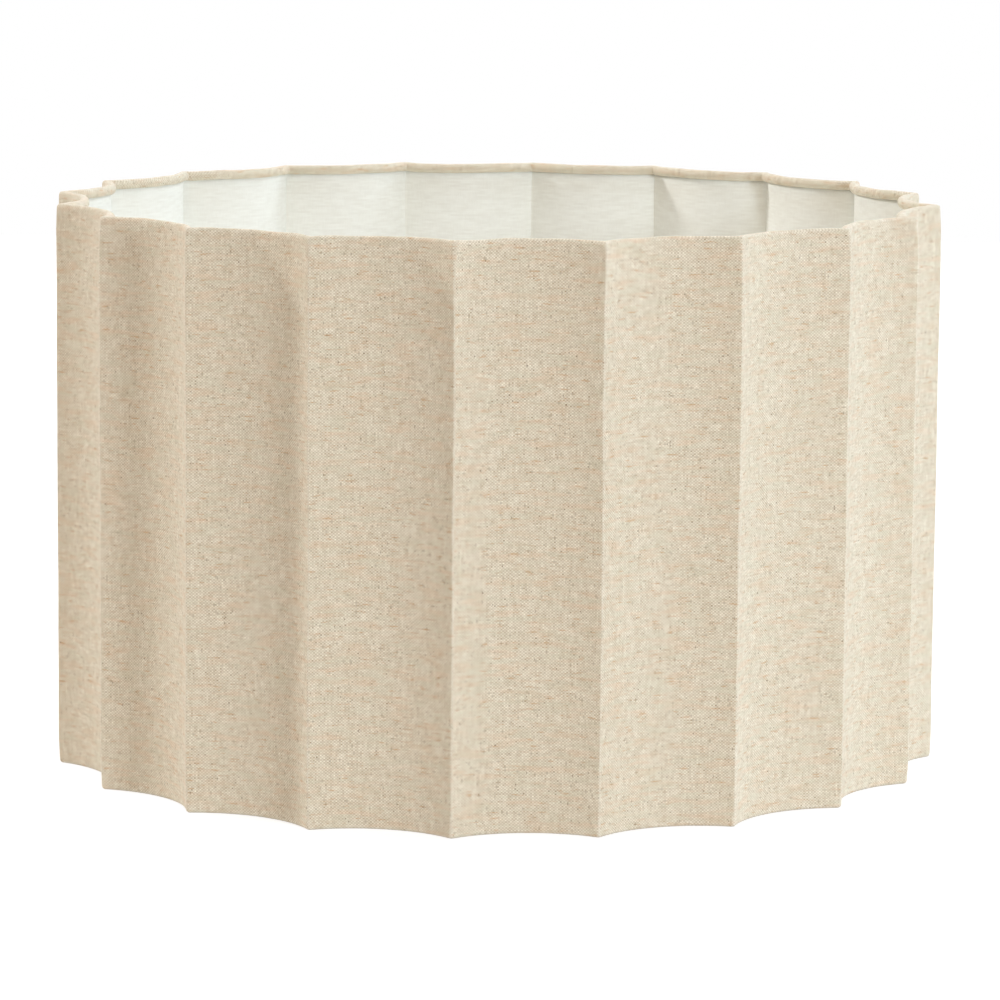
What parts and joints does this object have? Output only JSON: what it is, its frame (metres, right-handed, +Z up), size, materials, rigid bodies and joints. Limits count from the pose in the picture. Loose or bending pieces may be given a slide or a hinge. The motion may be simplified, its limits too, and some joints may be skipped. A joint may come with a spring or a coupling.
{
  "type": "lamp shade",
  "caption": "Fluted drum lamp shade in natural linen with a white lining, crisp outward folds, rolled edges and a wire-arm fitter at the bottom.",
  "frame": {"origin": "on the shade's axis in the plane of its bottom edge", "axes": "+Z up along the axis; -Y towards the front, where one fold lies; +X to the right"},
  "size_m": [0.4, 0.4, 0.252],
  "materials": {
    "natural_linen": "matte plain-weave linen",
    "white_lining": "matte fine plain weave",
    "white_pvc_strip": "satin sheet",
    "coated_steel_ring": "satin white coating",
    "coated_steel_arm": "satin white coating",
    "coated_steel_fitter": "satin white coating"
  },
  "bodies": {
    "root": {"linen_cover": "natural_linen", "lining": "white_lining", "stiffener_strip_01": "white_pvc_strip", "stiffener_strip_02": "white_pvc_strip", "stiffener_strip_03": "white_pvc_strip", "stiffener_strip_04": "white_pvc_strip", "stiffener_strip_05": "white_pvc_strip", "stiffener_strip_06": "white_pvc_strip", "stiffener_strip_07": "white_pvc_strip", "stiffener_strip_08": "white_pvc_strip", "stiffener_strip_09": "white_pvc_strip", "stiffener_strip_10": "white_pvc_strip", "stiffener_strip_11": "white_pvc_strip", "stiffener_strip_12": "white_pvc_strip", "stiffener_strip_13": "white_pvc_strip", "stiffener_strip_14": "white_pvc_strip", "stiffener_strip_15": "white_pvc_strip", "stiffener_strip_16": "white_pvc_strip", "stiffener_strip_17": "white_pvc_strip", "stiffener_strip_18": "white_pvc_strip", "stiffener_strip_19": "white_pvc_strip", "stiffener_strip_20": "white_pvc_strip", "top_ring": "coated_steel_ring", "bottom_ring": "coated_steel_ring", "fitter_arm_1": "coated_steel_arm", "fitter_arm_2": "coated_steel_arm", "fitter_arm_3": "coated_steel_arm", "fitter_arm_4": "coated_steel_arm", "fitter_ring": "coated_steel_fitter"}
  },
  "joints": []
}
